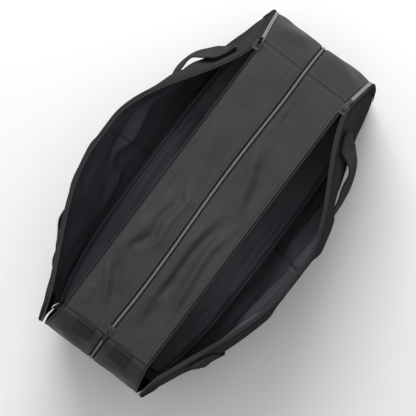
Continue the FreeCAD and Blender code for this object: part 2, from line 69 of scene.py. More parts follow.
TOP_HALF = panel_box[1].x              # middle of the bag to a cross seam
END_HALF = base_box[1].x               # middle of the bag to an end
HEIGHT = panel_box[1].z                # floor to the top band
CLOTH = 0.0012                         # thickness of a cloth layer
ZIP_HALF = 0.063                       # middle of the bag to a side zip
RIM_HALF = 0.067                       # middle of the bag to a closed rim's outer face
BASE_HALF = base_box[1].y
BASE_END_HALF = 0.083                  # the base's half width at an end
BELLY_HALF = 0.107                     # half width where the bag is widest
BELLY_END_HALF = 0.083                 # the same, at an end
BELLY_HEIGHT = 0.120
SHOULDER = 0.215                       # floor to where an end stops being upright
CHAIN_END = band_coil_box[0].z         # floor to the lower ends of the side zips
FLOOR_TOP = base_box[1].z + 0.0003     # lower edge of the side panels
NEAR_START, NEAR_CREST = -0.270, -0.020   # x where the lean begins and where it is full
FAR_START, FAR_CREST = 0.203, 0.015       # the same, from the far end
SPLIT = (NEAR_CREST + FAR_CREST) / 2   # where a side panel's two pieces meet
DIVIDER = 0.0515                       # middle of the bag to a divider
HINGE_Y = 0.103                        # middle of the bag to a side panel's hinge line
FLANGE = 0.03                          # share of a side panel's rows that turn in over the base
INNER_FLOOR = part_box("base_lining")[1].z
LIMIT_SLACK = 0.001                    # degrees that a closing limit has to spare

LEANS = {}                             # each side panel's opening angle, in radians
for joint in frame["joints"]:
    if joint["name"].endswith("_flap_close"):
        LEANS[joint["name"].split("_")[0]] = math.radians(max(joint["range_deg"]) - LIMIT_SLACK)


# ---- the bag's form --------------------------------------------------------------------------


def smooth(t):
    """0 below 0, 1 above 1, and a soft step between."""
    t = max(0.0, min(1.0, t))
    return t * t * (3 - 2 * t)


def side_curve(z, low, middle, high):
    """A half width at height z, from its values at the base, the belly and the top."""
    bend = ((high - low) / HEIGHT - (middle - low) / BELLY_HEIGHT) / (HEIGHT - BELLY_HEIGHT)
    slope = (middle - low) / BELLY_HEIGHT - bend * BELLY_HEIGHT
    return low + slope * z + bend * z * z


def half_width(x, z):
    """Middle of the bag to a closed side panel's outer face."""
    at_end = side_curve(z, BASE_END_HALF, BELLY_END_HALF, RIM_HALF)
    at_middle = side_curve(z, BASE_HALF, BELLY_HALF, RIM_HALF)
    return at_end + (at_middle - at_end) * (1 - min(1, abs(x) / END_HALF) ** 4)


def shoulder_arc():
    """The arc between an upright end and the top: its centre's x, radius and turn."""
    rise, run = HEIGHT - SHOULDER, END_HALF - TOP_HALF
    radius = (rise * rise + run * run) / (2 * run)
    return END_HALF - radius, radius, math.asin(rise / radius)


ARC_X, ARC_R, ARC_TURN = shoulder_arc()


def top_at(x):
    """Height of the bag's outline, seen from the side."""
    if abs(x) <= TOP_HALF:
        return HEIGHT
    across = min(ARC_R, abs(x) - ARC_X)
    return SHOULDER + math.sqrt(ARC_R ** 2 - across ** 2)


def outline(length):
    """A point of the outline and its outward normal, length metres along it from the middle of
    the top towards the far end (or the near end, below zero), in the XZ plane."""
    sign = -1 if length < 0 else 1
    run = abs(length)
    if run <= TOP_HALF:
        return Vector((sign * run, 0, HEIGHT)), Vector((0, 0, 1))
    run -= TOP_HALF
    if run <= ARC_R * ARC_TURN:
        angle = ARC_TURN - run / ARC_R
        out = Vector((math.cos(angle), 0, math.sin(angle)))
        point = Vector((ARC_X, 0, SHOULDER)) + out * ARC_R
    else:
        point = Vector((END_HALF, 0, SHOULDER - (run - ARC_R * ARC_TURN)))
        out = Vector((1, 0, 0))
    return Vector((sign * point.x, 0, point.z)), Vector((sign * out.x, 0, out.z))


def outline_length(height):
    """Length along the outline from the middle of the top to a height on an upright end."""
    return TOP_HALF + ARC_R * ARC_TURN + SHOULDER - height


def lean_share(x):
    """The share of the full opening angle that a side panel leans by at x."""
    near = smooth((x - NEAR_START) / (NEAR_CREST - NEAR_START))
    far = smooth((FAR_START - x) / (FAR_START - FAR_CREST))
    return min(near, far)


def leaned(point, side):
    """A point of a side panel, as if on the left, carried from closed to its place in the open
    bag. side gives its opening angle."""
    angle = LEANS[side] * lean_share(point.x)
    across = point.y - HINGE_Y
    return Vector((
        point.x,
        HINGE_Y + across * math.cos(angle) + point.z * math.sin(angle),
        -across * math.sin(angle) + point.z * math.cos(angle),
    ))


# ---- folds -----------------------------------------------------------------------------------


def fold(place, points, width, height):
    """Height at a place of a soft ridge (or a hollow, below zero) along a line of points. It has
    a rounded crest and fades out at both ends."""
    nearest, run_there = 9.0, 0.0
    total = sum((Vector(b) - Vector(a)).length for a, b in zip(points, points[1:]))
    run = 0.0
    for start, end in zip(points, points[1:]):
        start, end = Vector(start), Vector(end)
        along = end - start
        share = max(0.0, min(1.0, (place - start).dot(along) / along.length_squared))
        distance = (place - start - along * share).length
        if distance < nearest:
            nearest, run_there = distance, run + along.length * share
        run += along.length
    side = nearest / width
    if side > 2.6:
        return 0.0
    fade = 0.25 + 0.75 * smooth(run_there / total * 4) * smooth((1 - run_there / total) * 4)
    return height * fade * math.exp(-side * side)


def folds(place, rows):
    """The summed height at a place of all folds in rows."""
    return sum(fold(place, *row) for row in rows)


def rumple(point, scale, height, seed):
    """Gentle unevenness, the same at each run."""
    return height * noise.fractal(point * scale + Vector((seed, 2 * seed, 0)), 0.8, 2.0, 3)


# ---- mesh helpers ----------------------------------------------------------------------------


def new_object(name, mesh):
    piece = bpy.data.objects.new(name, mesh)
    bpy.context.collection.objects.link(piece)
    return piece


def to_object(name, mesh_maker, materials):
    """An object from a bmesh. It frees the bmesh and shades the faces smooth."""
    mesh = bpy.data.meshes.new(name)
    for face in mesh_maker.faces:
        face.smooth = True
    mesh_maker.to_mesh(mesh)
    mesh_maker.free()
    for material in materials:
        mesh.materials.append(material)
    return new_object(name, mesh)


def cloth(name, columns, rows, place, thickness, materials, size, inside_first=False):
    """A sheet over a grid of columns by rows. place(u, v) gives its outer face at u and v from 0
    to 1. The thickness grows to the inner side, which has the second material. The UV map is in
    metres: u times size[0], v times size[1]."""
    maker = bmesh.new()
    uv_layer = maker.loops.layers.uv.new("cloth")
    bmesh.ops.create_grid(maker, x_segments=columns, y_segments=rows, size=0.5, calc_uvs=True)
    for vertex in maker.verts:
        vertex.co.xy += Vector((0.5, 0.5))
    for face in maker.faces:
        for loop in face.loops:
            loop[uv_layer].uv = (loop.vert.co.x * size[0], loop.vert.co.y * size[1])
    for vertex in maker.verts:
        vertex.co = place(vertex.co.x, vertex.co.y)
    if inside_first:
        bmesh.ops.reverse_faces(maker, faces=maker.faces)
    mesh_object = to_object(name, maker, materials)
    wall = mesh_object.modifiers.new("wall", "SOLIDIFY")
    wall.thickness = thickness
    wall.offset = -1
    wall.material_offset = 1 if len(materials) > 1 else 0
    wall.use_quality_normals = True
    return baked(mesh_object)


def baked(piece):
    """Applies a piece's modifiers to its mesh."""
    bpy.context.view_layer.update()
    graph = bpy.context.evaluated_depsgraph_get()
    mesh = bpy.data.meshes.new_from_object(piece.evaluated_get(graph))
    old = piece.data
    piece.modifiers.clear()
    piece.data = mesh
    bpy.data.meshes.remove(old)
    return piece


def mirrored_place(place, sign):
    """place on the left side for sign 1 and on the right side for -1."""
    def there(u, v):
        point = place(u, v)
        return Vector((point.x, sign * point.y, point.z))
    return there


def ride_for(piece, body, slot, node):
    """Lets a piece ride a body and stand in for a CAD node."""
    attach(piece, body)
    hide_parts(node)


def blend_for(piece, end_name, node):
    """Bakes a piece's place into its mesh, in place of a CAD node, which it hides."""
    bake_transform(piece)
    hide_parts(node)


# ---- materials -------------------------------------------------------------------------------


def new_group(name, inputs, outputs):
    """An empty node group with float or colour sockets, and its input and output nodes."""
    tree = bpy.data.node_groups.new(name, "ShaderNodeTree")
    for label, kind, value in inputs:
        socket = tree.interface.new_socket(label, in_out="INPUT", socket_type=kind)
        if value is not None:
            socket.default_value = value
    for label, kind in outputs:
        tree.interface.new_socket(label, in_out="OUTPUT", socket_type=kind)
    return tree, tree.nodes.new("NodeGroupInput"), tree.nodes.new("NodeGroupOutput")


def join(tree, source, target):
    tree.links.new(source, target)


def math_node(tree, operation, first, second=None, clamp=False):
    node = tree.nodes.new("ShaderNodeMath")
    node.operation = operation
    node.use_clamp = clamp
    for socket, value in zip(node.inputs, (first, second)):
        if value is None:
            continue
        if isinstance(value, (int, float)):
            socket.default_value = value
        else:
            join(tree, value, socket)
    return node.outputs[0]


def weave_group():
    """A plain weave on the UV map: a height from two crossed sets of threads, and a slow
    variation of tone."""
    tree, given, result = new_group(
        "woven threads",
        [("Vector", "NodeSocketVector", None), ("Threads", "NodeSocketFloat", 900.0)],
        [("Height", "NodeSocketFloat"), ("Tone", "NodeSocketFloat")],
    )
    split = tree.nodes.new("ShaderNodeSeparateXYZ")
    join(tree, given.outputs["Vector"], split.inputs[0])
    across = math_node(tree, "MULTIPLY", split.outputs[0], given.outputs["Threads"])
    along = math_node(tree, "MULTIPLY", split.outputs[1], given.outputs["Threads"])
    warp = math_node(tree, "SINE", math_node(tree, "ADD", across, along))
    weft = math_node(tree, "SINE", math_node(tree, "SUBTRACT", across, along))
    height = math_node(
        tree, "ADD", math_node(tree, "ABSOLUTE", warp), math_node(tree, "ABSOLUTE", weft),
    )
    join(tree, height, result.inputs["Height"])
    patches = tree.nodes.new("ShaderNodeTexNoise")
    patches.inputs["Scale"].default_value = 9.0
    patches.inputs["Detail"].default_value = 4.0
    join(tree, given.outputs["Vector"], patches.inputs["Vector"])
    join(tree, patches.outputs["Fac"], result.inputs["Tone"])
    return tree


STITCH_HALF = 0.00035                  # half a thread's width
STITCH_STEP = 0.0032                   # one stitch and the space after it
STITCH_SHARE = 0.72                    # the thread's share of a step
PUCKER_REACH = 0.0016                  # how far from a row the cloth is drawn in


def stitch_group():
    """Rows of stitches: 1 on the thread of a row at a distance Place from the edge where Across
    is 0, dashed along Along, and 0 elsewhere."""
    tree, given, result = new_group(
        "stitch row",
        [
            ("Across", "NodeSocketFloat", 0.0),
            ("Along", "NodeSocketFloat", 0.0),
            ("Place", "NodeSocketFloat", 0.003),
        ],
        [("Thread", "NodeSocketFloat"), ("Pucker", "NodeSocketFloat")],
    )
    offset = math_node(tree, "SUBTRACT", given.outputs["Across"], given.outputs["Place"])
    distance = math_node(tree, "ABSOLUTE", offset)
    line = math_node(tree, "LESS_THAN", distance, STITCH_HALF)
    step = math_node(tree, "FRACT", math_node(tree, "MULTIPLY", given.outputs["Along"], 1 / STITCH_STEP))
    dash = math_node(tree, "LESS_THAN", step, STITCH_SHARE)
    join(tree, math_node(tree, "MULTIPLY", line, dash), result.inputs["Thread"])
    away = math_node(tree, "MULTIPLY", distance, 1 / PUCKER_REACH)
    near = math_node(tree, "SUBTRACT", 1.0, away, clamp=True)
    join(tree, near, result.inputs["Pucker"])
    return tree


WEAVE = weave_group()
STITCH = stitch_group()


def use_group(tree, group, **values):
    node = tree.nodes.new("ShaderNodeGroup")
    node.node_tree = group
    for label, value in values.items():
        if isinstance(value, (int, float)):
            node.inputs[label].default_value = value
        else:
            join(tree, value, node.inputs[label])
    return node


def blank_material(name, colour, roughness, specular=0.5, metallic=0.0):
    """A material with a Principled BSDF whose plain values are set on its own sockets."""
    material = bpy.data.materials.new(name)
    material.use_nodes = True
    shader = material.node_tree.nodes["Principled BSDF"]
    shader.inputs["Base Color"].default_value = (*colour, 1)
    shader.inputs["Roughness"].default_value = roughness
    shader.inputs["Specular IOR Level"].default_value = specular
    shader.inputs["Metallic"].default_value = metallic
    return material, material.node_tree, shader


def colour_between(tree, factor, first, second):
    mix = tree.nodes.new("ShaderNodeMix")
    mix.data_type = "RGBA"
    mix.inputs["A"].default_value = (*first, 1)
    mix.inputs["B"].default_value = (*second, 1)
    join(tree, factor, mix.inputs["Factor"])
    return mix.outputs["Result"]


def bump(tree, height, strength, distance, below=None):
    node = tree.nodes.new("ShaderNodeBump")
    node.inputs["Strength"].default_value = strength
    node.inputs["Distance"].default_value = distance
    join(tree, height, node.inputs["Height"])
    if below is not None:
        join(tree, below, node.inputs["Normal"])
    return node.outputs["Normal"]


def range_node(tree, value, low, high, to_low, to_high):
    node = tree.nodes.new("ShaderNodeMapRange")
    for label, number in (("From Min", low), ("From Max", high), ("To Min", to_low), ("To Max", to_high)):
        node.inputs[label].default_value = number
    join(tree, value, node.inputs["Value"])
    return node.outputs["Result"]


def cloth_material(name, dark, light, roughness, threads, crease, stitches=(), gloss=0.0):
    """Woven cloth on the UV map in metres, creased by crease, with a specular level of gloss.
    stitches are (axis, edge, place) rows, at a distance place from that UV value on that axis."""
    material, tree, shader = blank_material(name, dark, roughness, gloss)
    uv = tree.nodes.new("ShaderNodeUVMap")
    uv.uv_map = "cloth"
    weave = use_group(tree, WEAVE, Vector=uv.outputs[0], Threads=threads)
    tone = range_node(tree, weave.outputs["Tone"], 0.35, 0.65, 0.0, 1.0)
    colour = colour_between(tree, tone, dark, light)
    creases = tree.nodes.new("ShaderNodeTexNoise")
    creases.inputs["Scale"].default_value = 26.0
    creases.inputs["Detail"].default_value = 5.0
    creases.inputs["Distortion"].default_value = 0.8
    join(tree, uv.outputs[0], creases.inputs["Vector"])
    normal = bump(tree, creases.outputs["Fac"], crease, 0.004)
    normal = bump(tree, weave.outputs["Height"], 0.35, 0.0001, normal)
    split = tree.nodes.new("ShaderNodeSeparateXYZ")
    join(tree, uv.outputs[0], split.inputs[0])
    thread = None
    for axis, edge, place in stitches:
        across = math_node(tree, "ABSOLUTE", math_node(tree, "SUBTRACT", split.outputs[axis], edge))
        row = use_group(tree, STITCH, Across=across, Along=split.outputs[1 - axis], Place=place)
        drop = math_node(tree, "SUBTRACT", row.outputs["Thread"], row.outputs["Pucker"])
        normal = bump(tree, drop, 0.7, 0.0006, normal)
        seen = row.outputs["Thread"]
        thread = seen if thread is None else math_node(tree, "MAXIMUM", thread, seen)
    if thread is not None:
        mix = tree.nodes.new("ShaderNodeMix")
        mix.data_type = "RGBA"
        mix.inputs["B"].default_value = (*[1.35 * part + 0.002 for part in light], 1)
        join(tree, thread, mix.inputs["Factor"])
        join(tree, colour, mix.inputs["A"])
        colour = mix.outputs["Result"]
    join(tree, colour, shader.inputs["Base Color"])
    join(tree, normal, shader.inputs["Normal"])
    rough = range_node(tree, creases.outputs["Fac"], 0.3, 0.7, roughness - 0.06, roughness + 0.08)
    join(tree, rough, shader.inputs["Roughness"])
    return material


RIB_STEP = 0.0021                      # one rib of webbing
PICK_STEP = 0.0012                     # one thread across it
TOOTH_STEP = 0.0013                    # one tooth of a coil


def webbing_material():
    """Matt webbing: narrow ribs along the strap, crossed by a fine herringbone."""
    material, tree, shader = blank_material("webbing", (0.02, 0.02, 0.021), 0.85, 0.1)
    uv = tree.nodes.new("ShaderNodeUVMap")
    uv.uv_map = "cloth"
    split = tree.nodes.new("ShaderNodeSeparateXYZ")
    join(tree, uv.outputs[0], split.inputs[0])
    rib = math_node(tree, "SINE", math_node(tree, "MULTIPLY", split.outputs[0], 2 * math.pi / RIB_STEP))
    slant = math_node(tree, "ADD", split.outputs[1], math_node(tree, "MULTIPLY", rib, 0.0002))
    pick = math_node(tree, "SINE", math_node(tree, "MULTIPLY", slant, 2 * math.pi / PICK_STEP))
    height = math_node(tree, "ADD", rib, math_node(tree, "MULTIPLY", pick, 0.6))
    # Painted shade: the colour is darker in the rib hollows and lighter on their crests, following the same
    # height as the bump.
    tone = range_node(tree, height, -1.6, 1.6, 0.0, 1.0)
    colour = colour_between(tree, tone, (0.020, 0.020, 0.021), (0.050, 0.050, 0.052))
    join(tree, colour, shader.inputs["Base Color"])
    join(tree, bump(tree, height, 0.6, 0.0003), shader.inputs["Normal"])
    return material


def coil_material(name, zipped_highlight_from):
    """A nylon coil: each tooth is a slanted ridge along the chain, painted lighter on its crest and darker
    between teeth as painted shade. Past the given place, in metres along the strip, where its two halves are
    zipped together, it carries a painted highlight that makes it far lighter."""
    material, tree, shader = blank_material(name, (0.02, 0.02, 0.021), 0.45, 0.3)
    uv = tree.nodes.new("ShaderNodeUVMap")
    uv.uv_map = "cloth"
    split = tree.nodes.new("ShaderNodeSeparateXYZ")
    join(tree, uv.outputs[0], split.inputs[0])
    slant = math_node(tree, "MULTIPLY", split.outputs[1], 0.35)
    slanted = math_node(tree, "ADD", split.outputs[0], slant)
    tooth = math_node(tree, "SINE", math_node(tree, "MULTIPLY", slanted, 2 * math.pi / TOOTH_STEP))
    # Painted shade: the colour follows each tooth's ridge, lighter on the crest and darker between teeth.
    tone = range_node(tree, tooth, -1.0, 1.0, 0.35, 1.0)
    # Painted highlight: the coil is far lighter where it is zipped than where it lies open.
    closed = range_node(tree, split.outputs[0], zipped_highlight_from, zipped_highlight_from + 0.002, 0.10, 1.0)
    seen = math_node(tree, "MULTIPLY", tone, closed)
    # The light colour, 0.50, is the painted highlight. The coil itself is near black.
    colour = colour_between(tree, seen, (0.012, 0.012, 0.013), (0.50, 0.50, 0.51))
    join(tree, colour, shader.inputs["Base Color"])
    join(tree, bump(tree, tooth, 0.8, 0.0005), shader.inputs["Normal"])
    return material


def metal_material():
    """Dark painted metal, a little uneven in gloss."""
    material, tree, shader = blank_material("zip metal", (0.022, 0.022, 0.024), 0.4, 0.5, metallic=0.25)
    scuffs = tree.nodes.new("ShaderNodeTexNoise")
    scuffs.inputs["Scale"].default_value = 400.0
    place = tree.nodes.new("ShaderNodeTexCoord")
    join(tree, place.outputs["Object"], scuffs.inputs["Vector"])
    rough = range_node(tree, scuffs.outputs["Fac"], 0.3, 0.7, 0.32, 0.55)
    join(tree, rough, shader.inputs["Roughness"])
    return material


SHELL_DARK, SHELL_LIGHT = (0.037, 0.0365, 0.040), (0.050, 0.0495, 0.0545)
PANEL_WIDTH = panel_box[1].y - panel_box[0].y
BAND_LENGTH = 2 * TOP_HALF
band_cloth = cloth_material(
    "band cloth", SHELL_DARK, SHELL_LIGHT, 0.5, 5200, 0.2,
    [(1, 0.0, 0.0025), (1, 0.0, 0.0110), (1, PANEL_WIDTH, 0.0025), (1, PANEL_WIDTH, 0.0080)],
    gloss=0.10,
)
end_cloth = cloth_material(
    "end cloth", SHELL_DARK, SHELL_LIGHT, 0.5, 5200, 0.2,
    [(0, 0.0, 0.0040), (1, 0.0, 0.0025)], gloss=0.12,
)
side_cloth = cloth_material("side cloth", SHELL_DARK, SHELL_LIGHT, 0.5, 5200, 0.2)
lining_cloth = cloth_material(
    "lining cloth", (0.13, 0.131, 0.155), (0.19, 0.191, 0.22), 0.45, 6200, 0.3, gloss=0.15,
)
hem_cloth = cloth_material(
    "hem cloth", (0.03, 0.03, 0.032), (0.042, 0.042, 0.045), 0.55, 4200, 0.15,
    [(1, 0.0, 0.0015), (1, 0.0, 0.0075)],
)
tape_cloth = cloth_material(
    "zip tape cloth", (0.019, 0.019, 0.021), (0.026, 0.026, 0.028), 0.75, 3200, 0.1, [(1, 0.0, 0.003)],
)
base_cloth = cloth_material("base cloth", (0.02, 0.02, 0.021), (0.03, 0.03, 0.031), 0.6, 2600, 0.1)
webbing = webbing_material()
zip_metal = metal_material()
board_plastic = cloth_material("board plastic", (0.08, 0.08, 0.08), (0.1, 0.1, 0.1), 0.5, 300, 0.05)


# ---- camera, light and floor -----------------------------------------------------------------


def make_camera():
    """A camera nearly overhead, turned so that the far end points up and to the right."""
    target = Vector((-0.0045, -0.0037, 0.200))
    tilt, heading, roll = math.radians(2.8), math.radians(-21.8), math.radians(37.0)
    distance = 2.0
    level = Vector((math.cos(heading), math.sin(heading), 0))
    back = level * math.sin(tilt) + Vector((0, 0, math.cos(tilt)))
    right = (-back).cross(Vector((1, 0, 0))).normalized()
    up = right.cross(-back)
    turned_right = right * math.cos(roll) + up * math.sin(roll)
    turned_up = up * math.cos(roll) - right * math.sin(roll)
    camera = bpy.data.cameras.new("camera")
    camera.sensor_width = 36
    camera.lens = 141.0
    camera.clip_end = 20
    holder = bpy.data.objects.new("camera", camera)
    bpy.context.collection.objects.link(holder)
    turn = Matrix((turned_right, turned_up, back)).transposed().to_4x4()
    holder.matrix_world = Matrix.Translation(target + back * distance) @ turn
    bpy.context.scene.camera = holder


def area_light(name, place, target, side, power):
    light = bpy.data.lights.new(name, "AREA")
    light.shape = "SQUARE"
    light.size = side
    light.energy = power
    lamp = bpy.data.objects.new(name, light)
    bpy.context.collection.objects.link(lamp)
    aim = (Vector(target) - Vector(place)).to_track_quat("-Z", "Y")
    lamp.matrix_world = Matrix.Translation(place) @ aim.to_matrix().to_4x4()


def make_stage():
    maker = bmesh.new()
    bmesh.ops.create_grid(maker, x_segments=1, y_segments=1, size=6)
    material, _, _ = blank_material("pale floor", (0.93, 0.93, 0.93), 0.9, 0.0)
    floor = to_object("floor", maker, [material])
    world = bpy.data.worlds.new("studio")
    world.use_nodes = True
    world.node_tree.nodes["Background"].inputs["Color"].default_value = (1, 1, 1, 1)
    world.node_tree.nodes["Background"].inputs["Strength"].default_value = 0.28
    bpy.context.scene.world = world
    area_light("key", (1.3, 1.0, 1.9), (0, 0, 0.2), 1.2, 42)
    area_light("overhead", (0.3, 0.2, 2.6), (0, 0, 0.2), 1.8, 24)
    bpy.context.scene.view_settings.view_transform = "Standard"


# ---- side panels -----------------------------------------------------------------------------

# Folds of a side panel, in the closed panel's x and z: a line of points, width and height.
SIDE_FOLDS = {
    "left": [
        (((0.058, 0.130), (0.008, 0.105), (-0.029, 0.095), (-0.056, 0.050), (-0.086, 0.030)), 0.011, -0.011),
        (((0.075, 0.150), (0.025, 0.130), (-0.012, 0.115), (-0.040, 0.070), (-0.070, 0.050)), 0.014, 0.009),
        (((0.020, 0.190), (-0.035, 0.262)), 0.014, 0.005),
        (((0.095, 0.060), (0.070, 0.230)), 0.016, -0.006),
        (((-0.060, 0.120), (-0.080, 0.240)), 0.022, 0.006),
        (((-0.150, 0.050), (-0.120, 0.240)), 0.020, 0.005),
        (((0.140, 0.160), (0.090, 0.262)), 0.013, 0.004),
    ],
    "right": [
        (((-0.190, 0.225), (-0.110, 0.215), (-0.040, 0.225)), 0.012, 0.007),
        (((-0.160, 0.200), (-0.105, 0.175), (-0.060, 0.180)), 0.010, -0.009),
        (((-0.130, 0.130), (-0.030, 0.120), (0.031, 0.150), (0.077, 0.160)), 0.013, -0.009),
        (((-0.090, 0.095), (0.000, 0.085), (0.070, 0.120)), 0.012, 0.009),
        (((0.000, 0.055), (0.080, 0.075)), 0.012, -0.006),
        (((0.020, 0.235), (0.090, 0.190)), 0.014, 0.007),
        (((-0.130, 0.050), (-0.060, 0.060)), 0.016, 0.007),
    ],
}


def panel_swell(side, x, z):
    """How far a side panel's cloth stands off its plain form: folds that die out at its edges."""
    top = top_at(x)
    hold = smooth((top - z) / 0.030) * smooth((z - 0.004) / 0.035)
    hold *= smooth((END_HALF - abs(x)) / 0.030)
    place = Vector((x, z))
    amount = folds(place, SIDE_FOLDS[side])
    amount += rumple(Vector((x, 0, z)), 9, 0.004, 3.0 if side == "left" else 8.0)
    return hold * min(0.006, amount)


def side_point(side, x, v):
    """A point of a side panel, v from its edge on the base, which turns in, to its rim."""
    low = FLOOR_TOP
    if v < FLANGE:
        inward = 0.009 * (1 - v / FLANGE)
        return leaned(Vector((x, half_width(x, low) - inward - 0.0004, low)), side)
    z = low + (top_at(x) - low) * (v - FLANGE) / (1 - FLANGE)
    return leaned(Vector((x, half_width(x, z) + panel_swell(side, x, z), z)), side)


def make_side_panels():
    """Each side panel is two pieces that meet at SPLIT."""
    for side, sign in SIDES.items():
        for half, end in (("near", -END_HALF), ("far", END_HALF)):
            def place(u, v):
                x = SPLIT + (end - SPLIT) * math.sin(u * math.pi / 2)
                return side_point(side, x, v)

            flip = (half == "near") == (sign > 0)
            panel = cloth(
                f"{side}_side_panel_{half}", 60, 72, mirrored_place(place, sign), CLOTH,
                [side_cloth, lining_cloth], (abs(SPLIT - end), HEIGHT), inside_first=not flip,
            )
            blend_for(panel, half, f"{side}_side_panel")


# ---- strips along the rims -------------------------------------------------------------------


def rim_point(side, length, inward, off):
    """A point of a rim, leaned as its panel is: length along the outline, inward from the edge in
    the panel's own surface, and off its outer face."""
    point, out = outline(length)
    place = point - out * inward
    return leaned(Vector((place.x, half_width(place.x, place.z) + off, place.z)), side)


def rim_piece(
    name, side, sign, section, rows, near_material, far_material, thickness, width,
):
    """A strip that runs along a rim in a near and a far piece, each from SPLIT to its zip end.
    section(v) gives (inward, off)."""
    for half, end, material in (
        ("near", -CHAIN_LENGTH, near_material),
        ("far", CHAIN_LENGTH, far_material),
    ):
        def place(u, v):
            inward, off = section(v)
            return rim_point(side, SPLIT + (end - SPLIT) * u, inward, off)

        flip = (half == "near") == (sign > 0)
        strip = cloth(
            f"{side}_{name}_{half}", 130, rows, mirrored_place(place, sign), thickness,
            [material], (abs(end - SPLIT), width), inside_first=not flip,
        )
        blend_for(strip, half, f"{side}_{name}")


CHAIN_LENGTH = outline_length(CHAIN_END)   # middle of the top to a zip's lower end
CLOSED_PLACE = slider_box[1].x - 0.002     # x past which the side zips are closed
NEVER = 9.0                                # a place past the end of any strip
# Each coil's painted highlight starts where it is zipped: along the whole centre zip, past the side sliders
# on the band and far rim coils, and never on the near rim coils.
centre_teeth = coil_material("centre coil", -0.001)
band_teeth = coil_material("band coil", CHAIN_LENGTH + CLOSED_PLACE)
far_rim_teeth = coil_material("far rim coil", CLOSED_PLACE - SPLIT)
near_rim_teeth = coil_material("near rim coil", NEVER)
HEM_DEPTH = 0.009                          # how far the hem reaches down each face
HEM_FACE = 0.42                            # share of the hem's rows on each face


def make_rims():
    """The hem folded over each rim, and the zip tape and coil that run along it."""
    def hem(v):
        """Up the inner face, over the edge and down the outer face."""
        if v < HEM_FACE:
            return HEM_DEPTH * (1 - v / HEM_FACE), -CLOTH - 0.0007
        if v > 1 - HEM_FACE:
            return HEM_DEPTH * (v - (1 - HEM_FACE)) / HEM_FACE, 0.0008
        turn = (v - HEM_FACE) / (1 - 2 * HEM_FACE) * math.pi
        return -0.0012 * math.sin(turn), -CLOTH / 2 - 0.0014 * math.cos(turn)

    def tape(v):
        """Flat on the inner face, a little hollow."""
        return 0.0190 - 0.0175 * v, -CLOTH - 0.0017 - 0.0006 * math.sin(v * math.pi)

    def coil(v):
        """A rounded ridge beside the hem, on the inner side."""
        turn = v * math.pi * 1.6 - 0.3 * math.pi
        return 0.0004 - 0.0011 * math.sin(turn), -CLOTH - 0.0022 - 0.0011 * math.cos(turn)

    for side, sign in SIDES.items():
        rim_piece("rim_hem", side, sign, hem, 14, hem_cloth, hem_cloth, 0.0006, 0.021)
        rim_piece("rim_tape", side, sign, tape, 4, tape_cloth, tape_cloth, 0.0006, 0.0175)
        rim_piece(
            "rim_coil", side, sign, coil, 6, near_rim_teeth, far_rim_teeth, 0.0004, 0.005,
        )


# ---- handles ---------------------------------------------------------------------------------

# A strap's middle line over its panel: x, z, distance off the cloth and how far its lower edge
# stands off more than its upper one.
STRAP_LINE = [
    (0.158, 0.252, 0.0024, 0.0), (0.158, 0.266, 0.0030, 0.0), (0.1575, 0.2735, 0.0050, 0.0),
    (0.157, 0.2750, 0.0070, 0.0), (0.156, 0.269, 0.0085, 0.0), (0.153, 0.240, 0.0085, 0.05),
    (0.149, 0.208, 0.0090, 0.1), (0.143, 0.184, 0.0100, 0.25), (0.129, 0.168, 0.0100, 0.40),
    (0.105, 0.158, 0.0075, 0.35), (0.075, 0.147, 0.0045, 0.15), (0.040, 0.134, 0.0034, 0.0),
    (0.000, 0.128, 0.0034, 0.0), (-0.045, 0.134, 0.0034, 0.0), (-0.090, 0.150, 0.0036, 0.0),
    (-0.125, 0.172, 0.0032, 0.0), (-0.143, 0.200, 0.0030, 0.0), (-0.151, 0.230, 0.0030, 0.0),
    (-0.156, 0.262, 0.0030, 0.0),
]
STRAP_HALF = 0.0125
STRAP_LENGTH = 0.52                    # along the line, for the weave's scale
FAR_SEWN_X, NEAR_SEWN_X = 0.158, -0.156
TURN_START, TURN_END = 0.24, 0.30      # shares of the line where the upright strap turns


def strap_at(share):
    """The strap's line at a share of its length, smoothed through STRAP_LINE."""
    run = share * (len(STRAP_LINE) - 1)
    index = min(int(run), len(STRAP_LINE) - 2)
    t = run - index
    rows = [STRAP_LINE[max(0, min(len(STRAP_LINE) - 1, index + step))] for step in (-1, 0, 1, 2)]
    result = []
    for a, b, c, d in zip(*rows):
        result.append(0.5 * (2 * b + (c - a) * t + (2 * a - 5 * b + 4 * c - d) * t * t
                             + (3 * b - a - 3 * c + d) * t ** 3))
    return result


def on_cloth(side, x, z, off):
    """A point off the outer face of a leaning side panel, folds and all."""
    return leaned(Vector((x, half_width(x, z) + panel_swell(side, x, z) + off, z)), side)


